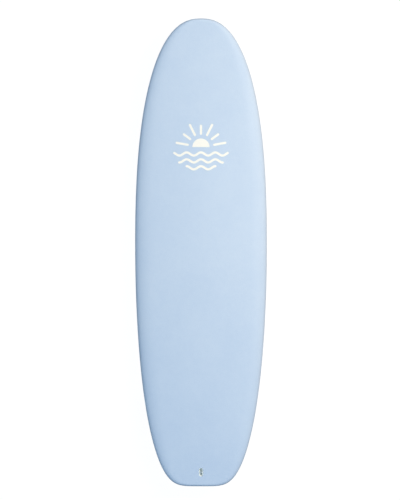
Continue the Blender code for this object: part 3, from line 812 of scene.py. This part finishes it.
def stroke_grid(path, width, cap_steps=6, across=4):
    """A band of points along a path, with half-round ends."""
    path = [Vector(p) for p in path]
    first = (path[0] - path[1]).normalized()
    last = (path[-1] - path[-2]).normalized()
    spine = []
    for k in range(cap_steps + 1):
        angle = math.pi / 2 * k / cap_steps
        spine.append((path[0] + first * (width / 2 * math.cos(angle)), -first, math.sin(angle)))
    for k in range(1, len(path) - 1):
        spine.append((path[k], (path[k + 1] - path[k - 1]).normalized(), 1.0))
    for k in range(cap_steps, -1, -1):
        angle = math.pi / 2 * k / cap_steps
        spine.append((path[-1] + last * (width / 2 * math.cos(angle)), last, math.sin(angle)))
    grid = []
    for point, along, share in spine:
        side = Vector((-along.y, along.x))
        reach = width / 2 * max(share, LEAST_SHARE)
        grid.append([tuple(point + side * (reach * (2 * c / across - 1))) for c in range(across + 1)])
    return grid


def make_deck_print():
    """A rising sun with rays over three waves, in one line weight."""
    welder = Welder()
    radius = PRINT_WIDTH / 2
    sun = SUN_RADIUS * radius
    half_disc = []
    for k in range(SUN_ROWS + 1):
        angle = math.pi * k / SUN_ROWS
        reach = sun * max(math.sin(angle), LEAST_SHARE)
        half_disc.append([(sun * math.cos(angle), reach * share) for share in (0.0, 0.25, 0.5, 0.75, 1.0)])
    print_film(welder, half_disc)
    for k in range(RAYS):
        angle = RAY_FIRST + RAY_SPREAD * k / (RAYS - 1)
        reaches = np.linspace(RAY_START, RAY_ENDS[k % 2], RAY_POINTS) * radius
        path = [(reach * math.cos(angle), reach * math.sin(angle)) for reach in reaches]
        print_film(welder, stroke_grid(path, PRINT_STROKE))
    for k, reach in enumerate(WAVE_REACHES):
        middle = -radius * WAVE_SPACING * (k + 1)
        turns = 2 * math.pi / (WAVE_PERIOD * radius)
        wave_u = np.linspace(-reach * radius, reach * radius, WAVE_POINTS)
        path = [(u, middle + WAVE_HEIGHT * radius * math.cos(u * turns)) for u in wave_u]
        print_film(welder, stroke_grid(path, PRINT_STROKE))
    film = mesh_object("deck_print", welder, MATERIALS["deck_print"], sharp=60)
    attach(film, "board")


# ---------------------------------------------------------------- leash plug
def make_leash_plug():
    """The cup with its flange, rounded lip, drafted walls and dished floor, and the bar across it."""

    def ring(grow, height):
        return slot_ring(PLUG_MOUTH_LENGTH + 2 * grow, PLUG_MOUTH_WIDTH + 2 * grow, height)

    foot, chamfer = PLUG_FOOT_CHAMFER, PLUG_FLANGE_CHAMFER
    flange_top = -PLUG_FLANGE_TOP
    flange_base = flange_top - PLUG_FLANGE_THICKNESS
    rings = [ring(PLUG_WALL - foot, -PLUG_DEPTH), ring(PLUG_WALL, -PLUG_DEPTH + foot)]
    rings += [ring(PLUG_WALL, flange_base), ring(PLUG_FLANGE - chamfer, flange_base)]
    rings += [ring(PLUG_FLANGE, flange_base + chamfer), ring(PLUG_FLANGE, flange_top - chamfer)]
    rings += [ring(PLUG_FLANGE - chamfer, flange_top), ring(PLUG_LIP, flange_top)]
    crest = PLUG_LIP * PLUG_LIP_CREST
    lip = fillet(crest, PLUG_LIP, PLUG_LIP_OUTER_ROUND) + fillet(crest, 0.0, PLUG_LIP_INNER_ROUND)[::-1]
    rings += [ring(grow, PLUG_PROUD + drop) for grow, drop in lip]
    heel = PLUG_HOLLOW_DEPTH - PLUG_HEEL
    rings.append(ring(-PLUG_DRAFT * heel / PLUG_HOLLOW_DEPTH, -heel))
    rings.append(ring(-PLUG_DRAFT, -heel - PLUG_HEEL_DROP))
    rings.append(ring(-PLUG_DRAFT - PLUG_HEEL_INSET, -PLUG_HOLLOW_DEPTH))
    nylon, steel = MATERIALS["cup_nylon"], MATERIALS["stainless_steel"]
    cup = mesh_object("plug_cup", loft(rings), nylon, sharp=40, matrix=PLUG_FRAME)
    across = PLUG_FRAME @ Matrix.Translation((0, 0, -BAR_DEPTH)) @ Matrix.Rotation(math.pi / 2, 4, "Y")
    half_bar = PLUG_MOUTH_WIDTH / 2 + PLUG_WALL - BAR_END_GAP
    hole_end = half_bar + 4 * SMALL_CUT_PAST
    hole = [round_ring(BAR_RADIUS + GAP / 2, end) for end in (-hole_end, hole_end)]
    carve(cup, [mesh_object("bar_hole", loft(hole), nylon, matrix=across)], sharp=40)
    ends = [(BAR_RADIUS - BAR_END_ROUND, half_bar)]
    ends += [(BAR_RADIUS - BAR_END_SHOULDER, half_bar - BAR_END_SHOULDER)]
    ends += [(BAR_RADIUS, half_bar - BAR_END_ROUND)]
    profile = [(radius, -end) for radius, end in ends] + ends[::-1]
    bar = mesh_object("plug_bar", loft([round_ring(*pair) for pair in profile]), steel, matrix=across)
    stand_in(cup, "board", "leash_cup")
    stand_in(bar, "board", "leash_bar")


# ---------------------------------------------------------------- fins
def fin_outline(share):
    """Leading and trailing edge at a share of the fin's depth; near the tip they close on each other."""
    lead = -FIN_BASE / 2 + FIN_SWEEP * share**FIN_SWEEP_POWER + FIN_TIP_RAKE * share**FIN_TIP_RAKE_POWER
    hollow = FIN_TRAIL_HOLLOW * math.sin(math.pi * min(share * FIN_TRAIL_HOLLOW_RUN, 1.0))
    trail = FIN_BASE / 2 - hollow + FIN_TRAIL_SWEEP * share**2
    pinch = math.sqrt(max(1 - share**FIN_TIP_ROUND_POWER, 0))
    middle = lead + (trail - lead) * FIN_TIP_CENTRE
    return middle + (lead - middle) * pinch, middle + (trail - middle) * pinch


def foil_thickness(along):
    """Half thickness of the usual four-digit foil at a share of its chord, as a share of the whole."""
    tail = 0.63 * along + 1.76 * along**2 - 1.42 * along**3 + 0.51 * along**4
    return max(1.48 * math.sqrt(along) - tail, 0.0)


def fin_ring(share, side, shear, steps=FIN_STEPS):
    """One level of the blade. side 0 is symmetric; +1 and -1 are flat on the side facing inboard."""
    lead, trail = fin_outline(share)
    thick = FIN_THICKNESS * (1 - FIN_THINNING * share)
    thin = math.sqrt(max(1 - share**FIN_TIP_THIN_POWER, LEAST_SHARE))
    height = -GAP - FIN_DEPTH * share
    flat = TAB_THICKNESS / 2 + FIN_FLAT_MARGIN
    outer, inner = [], []
    for step in range(steps + 1):
        along = 0.5 - 0.5 * math.cos(math.pi * step / steps)
        round_edge = math.sqrt(max(1 - (2 * along - 1) ** FIN_EDGE_ROUND_POWER, 0))
        bulge = (thick * foil_thickness(along) + FIN_EDGE / 2 * round_edge) * thin + FIN_LEAST_HALF
        y = lead + (trail - lead) * along
        lean = height * shear
        if side == 0:
            outer.append((lean + bulge, y, height))
            inner.append((lean - bulge, y, height))
        else:
            ease = FIN_EDGE * FIN_EDGE_EASE * (1 - round_edge)
            outer.append((lean + side * (2 * bulge - flat - ease), y, height))
            inner.append((lean - side * (flat - ease), y, height))
    return outer + inner[::-1]


def tab_ring(grow, lean, centre, height):
    """A rectangle at one height, larger than a tab's section by the same amount all round."""
    length, width = TAB_LENGTH / 2 + grow, TAB_THICKNESS / 2 + grow
    corners = [(width, -length), (width, length), (-width, length), (-width, -length)]
    return [(lean + x, centre + y, height) for x, y in corners]


def tab_rings(centre, shear, side):
    """A tab: a narrow root inside the blade, full size from the blade's base to a chamfered end."""
    rings = []
    for height in (-GAP - TAB_ROOT, -GAP + TAB_ROOT_STEP):
        lean = height * shear - side * TAB_ROOT_OFFSET
        rings.append(tab_ring(-TAB_ROOT_INSET, lean, centre, height))
    levels = [(-GAP + 2 * TAB_ROOT_STEP, 0.0), (TAB_DEPTH - TAB_CHAMFER, 0.0), (TAB_DEPTH, TAB_CHAMFER)]
    rings += [tab_ring(-inset, height * shear, centre, height) for height, inset in levels]
    return rings


def make_fin(label):
    """A fin in its box: the blade with its two tabs."""
    side = FIN_SETS[label][0]
    shear = -math.tan(CANT) * side
    nylon, place = MATERIALS["fin_nylon"], FIN_FRAMES[label]
    shares = [math.sin(math.pi / 2 * k / FIN_LEVELS) for k in range(FIN_LEVELS)] + [FIN_LAST_LEVEL]
    blade = loft([fin_ring(share, side, shear) for share in shares])
    fin = mesh_object(f"blade_{label}", blade, nylon, sharp=50, matrix=place)
    tabs = []
    for end, centre in TABS.items():
        tab = loft(tab_rings(centre, shear, side))
        tabs.append(mesh_object(f"tab_{end}", tab, nylon, matrix=place))
    carve(fin, tabs, "UNION", sharp=50)
    stand_in(fin, f"{label}_fin", f"fin_{label}")


def screw_frame(label, centre):
    """A grub screw's place: its tip by the tab, and its +Z axis leaning away from it to the box's face."""
    side = FIN_SETS[label][0]
    lean_side = -side or 1
    shear = -math.tan(CANT) * side
    clear = TAB_THICKNESS / 2 + GAP + SCREW_TIP_RADIUS * math.cos(SCREW_LEAN)
    upright = Matrix.Rotation(math.atan(shear), 4, "Y")
    on_tab = Matrix.Translation((SCREW_TIP_DEPTH * shear, centre, SCREW_TIP_DEPTH)) @ upright
    aside = Matrix.Translation((lean_side * clear, 0, 0))
    outward = Matrix.Rotation(math.pi - lean_side * SCREW_LEAN, 4, "Y")
    return FIN_FRAMES[label] @ on_tab @ aside @ outward


def make_screw(label, end, place):
    """A grub screw with a conical tip, threads and a countersunk hexagon socket."""
    steel = MATERIALS["stainless_steel"]
    cone = (SCREW_RADIUS - SCREW_TIP_RADIUS) / math.tan(SCREW_LEAN)
    root = SCREW_RADIUS - THREAD_DEPTH
    profile = [(SCREW_TIP_RADIUS * 0.5, 0.0), (SCREW_TIP_RADIUS, 0.0), (root, cone)]
    turns = int((SCREW_LENGTH - cone - THREAD_END) / THREAD_PITCH)
    for k in range(turns):
        for radius, share in ((SCREW_RADIUS, 0.35), (SCREW_RADIUS, 0.5), (root, 0.9)):
            profile.append((radius, cone + THREAD_START + THREAD_PITCH * (k + share)))
    profile.append((SCREW_RADIUS - SCREW_CHAMFER, SCREW_LENGTH))
    profile.append((SOCKET_RADIUS + SOCKET_CHAMFER, SCREW_LENGTH))
    profile.append((SOCKET_RADIUS, SCREW_LENGTH - SOCKET_CHAMFER))
    body = loft([round_ring(radius, height, SCREW_STEPS) for radius, height in profile])
    screw = mesh_object(f"screw_{label}_{end}", body, steel, matrix=place)
    levels = (SCREW_LENGTH - SOCKET_DEPTH, SCREW_LENGTH + SMALL_CUT_PAST)
    socket = loft([round_ring(SOCKET_RADIUS, height, SOCKET_SIDES) for height in levels])
    carve(screw, [mesh_object("socket", socket, steel, matrix=place)])
    stand_in(screw, f"{label}_{end}_screw", f"fin_screw_{label}_{end}")


def make_fin_box(label):
    """The box with an eased rim, two tab pockets and two screw holes."""
    side = FIN_SETS[label][0]
    shear = -math.tan(CANT) * side
    nylon, matrix = MATERIALS["box_nylon"], FIN_FRAMES[label]
    step = BOX_EASE * BOX_RIM_STEP
    rim = [(BOX_EASE, 0.0), (step, step), (0.0, BOX_EASE)]
    far_edge = [(0.0, BOX_DEPTH - BOX_EASE), (BOX_EASE, BOX_DEPTH)]
    rings = []
    for inset, height in rim + far_edge:
        rings.append(slot_ring(BOX_LENGTH - 2 * inset, BOX_WIDTH - 2 * inset, height))
    box = mesh_object(f"box_{label}", loft(rings), nylon, matrix=matrix)
    levels = [(-CUT_PAST, POCKET_FLARE), (-POCKET_FLARE_TOP, POCKET_FLARE)]
    levels += [(POCKET_FLARE_DEPTH, GAP), (TAB_DEPTH + GAP, GAP)]
    cutters = []
    for end, centre in TABS.items():
        pocket = [tab_ring(grow, height * shear, centre, height) for height, grow in levels]
        cutters.append(mesh_object(f"pocket_{end}", loft(pocket), nylon, matrix=matrix))
        place = screw_frame(label, centre)
        reach = (-SMALL_CUT_PAST, SCREW_LENGTH * 2)
        bore = loft([round_ring(SCREW_HOLE_RADIUS, height, BORE_STEPS) for height in reach])
        cutters.append(mesh_object(f"bore_{end}", bore, nylon, matrix=place))
        make_screw(label, end, place)
    carve(box, cutters)
    stand_in(box, "board", f"fin_box_{label}")


# ---------------------------------------------------------------- CAD nodes that stay
def dress_cad_nodes():
    """Gives the inner pieces, whose CAD shapes stay, the material of their slot."""
    for entry in frame["record"]["subparts"]:
        node = frame["nodes"][entry["node"]]
        if node.hide_render:
            continue
        node.data.materials.clear()
        node.data.materials.append(MATERIALS[entry["material_slot"]])


# ---------------------------------------------------------------- studio
def floor_material():
    """A translucent pale floor, near white from above, that lets the light below it through."""
    material = bpy.data.materials.new("pale_floor")
    material.use_nodes = True
    nodes, links = material.node_tree.nodes, material.node_tree.links
    nodes.clear()
    path = nodes.new("ShaderNodeLightPath")
    diffuse = nodes.new("ShaderNodeBsdfDiffuse")
    diffuse.inputs["Color"].default_value = (FLOOR_SHADOW, FLOOR_SHADOW, FLOOR_SHADOW, 1)
    bounce = nodes.new("ShaderNodeBsdfDiffuse")
    bounce.inputs["Color"].default_value = (FLOOR_BOUNCE, FLOOR_BOUNCE, FLOOR_BOUNCE, 1)
    glow = nodes.new("ShaderNodeEmission")
    glow.inputs["Strength"].default_value = FLOOR_GLOW
    seen = nodes.new("ShaderNodeAddShader")
    links.new(diffuse.outputs[0], seen.inputs[0])
    links.new(glow.outputs[0], seen.inputs[1])
    lit = nodes.new("ShaderNodeMixShader")
    links.new(path.outputs["Is Camera Ray"], lit.inputs["Fac"])
    links.new(bounce.outputs[0], lit.inputs[1])
    links.new(seen.outputs[0], lit.inputs[2])
    clear = nodes.new("ShaderNodeBsdfTransparent")
    through = nodes.new("ShaderNodeMath")
    through.operation = "MAXIMUM"
    links.new(nodes.new("ShaderNodeNewGeometry").outputs["Backfacing"], through.inputs[0])
    links.new(path.outputs["Is Shadow Ray"], through.inputs[1])
    below = nodes.new("ShaderNodeMixShader")
    links.new(through.outputs[0], below.inputs["Fac"])
    links.new(lit.outputs[0], below.inputs[1])
    links.new(clear.outputs[0], below.inputs[2])
    links.new(below.outputs[0], nodes.new("ShaderNodeOutputMaterial").inputs["Surface"])
    return material


def make_floor(height):
    corners = ((-1, -1), (1, -1), (1, 1), (-1, 1))
    welder = Welder()
    welder.face(*[(FLOOR_REACH * x, FLOOR_REACH * y, height) for x, y in corners])
    mesh = bpy.data.meshes.new("floor")
    mesh.from_pydata(welder.points, [], welder.faces)
    mesh.materials.append(floor_material())
    floor = bpy.data.objects.new("floor", mesh)
    bpy.context.scene.collection.objects.link(floor)


def make_world():
    """White to the camera; to everything else a cool dome, brightest overhead and dark at the horizon."""
    world = bpy.data.worlds.new("studio")
    bpy.context.scene.world = world
    world.use_nodes = True
    nodes, links = world.node_tree.nodes, world.node_tree.links
    nodes.clear()
    path = nodes.new("ShaderNodeLightPath").outputs["Is Camera Ray"]
    split = nodes.new("ShaderNodeSeparateXYZ")
    links.new(nodes.new("ShaderNodeTexCoord").outputs["Generated"], split.inputs[0])
    rise = nodes.new("ShaderNodeMapRange")
    links.new(split.outputs["Z"], rise.inputs["Value"])
    rise.inputs["To Max"].default_value = SKY_TOP
    dim = nodes.new("ShaderNodeBackground")
    dim.inputs["Color"].default_value = (*SKY_BLUE, 1)
    links.new(rise.outputs[0], dim.inputs["Strength"])
    white = nodes.new("ShaderNodeBackground")
    white.inputs["Color"].default_value = (*SKY_SEEN, 1)
    mix = nodes.new("ShaderNodeMixShader")
    links.new(path, mix.inputs["Fac"])
    links.new(dim.outputs[0], mix.inputs[1])
    links.new(white.outputs[0], mix.inputs[2])
    links.new(mix.outputs[0], nodes.new("ShaderNodeOutputWorld").inputs["Surface"])


def add_softbox(name, place, width, height, power, colour=(1, 1, 1)):
    """A soft rectangular lamp, turned to the board."""
    light = bpy.data.lights.new(name, "AREA")
    light.shape = "RECTANGLE"
    light.size, light.size_y = width, height
    light.energy = power
    light.color = colour
    obj = bpy.data.objects.new(name, light)
    bpy.context.scene.collection.objects.link(obj)
    obj.location = place
    aim = Vector(LAMP_TARGET) - Vector(place)
    obj.rotation_mode = "QUATERNION"
    obj.rotation_quaternion = aim.to_track_quat("-Z", "Y")


def make_lights():
    """A warm key and a weak side light from the rider's right, and a light under the floor for the bottom."""
    add_softbox("key", (-2.3, -1.3, 4.0), width=1.6, height=3.4, power=144.0, colour=LAMP_WARM)
    add_softbox("side", (-3.6, -1.6, 2.6), width=1.6, height=3.4, power=36.0, colour=LAMP_WARM)
    add_softbox("underlight", (0.6, 0.2, -3.0), width=3.0, height=4.0, power=130.0)


def make_camera():
    """Straight down on the deck with the nose at the top of the picture, through a long lens."""
    data = bpy.data.cameras.new("camera")
    data.lens = LENS
    data.sensor_width = SENSOR
    camera = bpy.data.objects.new("camera", data)
    bpy.context.scene.collection.objects.link(camera)
    nose_height = float(bottom_height(-TIP_Y) + APEX_SHARE * thickness(-TIP_Y))
    tail_height = float(bottom_height(TIP_Y) + APEX_SHARE * thickness(TIP_Y))
    reach = LENS / SENSOR
    above, below = 0.5 - NOSE_MARGIN, 0.5 - TAIL_MARGIN
    height = (reach * LENGTH + above * nose_height + below * tail_height) / (above + below)
    middle = above * (height - nose_height) / reach - TIP_Y
    camera.location = (SIDE_SHIFT * LENGTH / (above + below), middle, height)
    camera.rotation_euler = (0, 0, math.pi)
    data.clip_end = 200
    bpy.context.scene.camera = camera


# ---------------------------------------------------------------- assembly
make_deck_cover()
make_bottom_cover()
make_deck_print()
make_leash_plug()
for fin_label in FIN_SETS:
    make_fin(fin_label)
    make_fin_box(fin_label)
dress_cad_nodes()

make_floor(CAD_BOX[0].z - FLOOR_DROP)
make_world()
make_lights()
make_camera()
bpy.context.scene.view_settings.view_transform = "Standard"
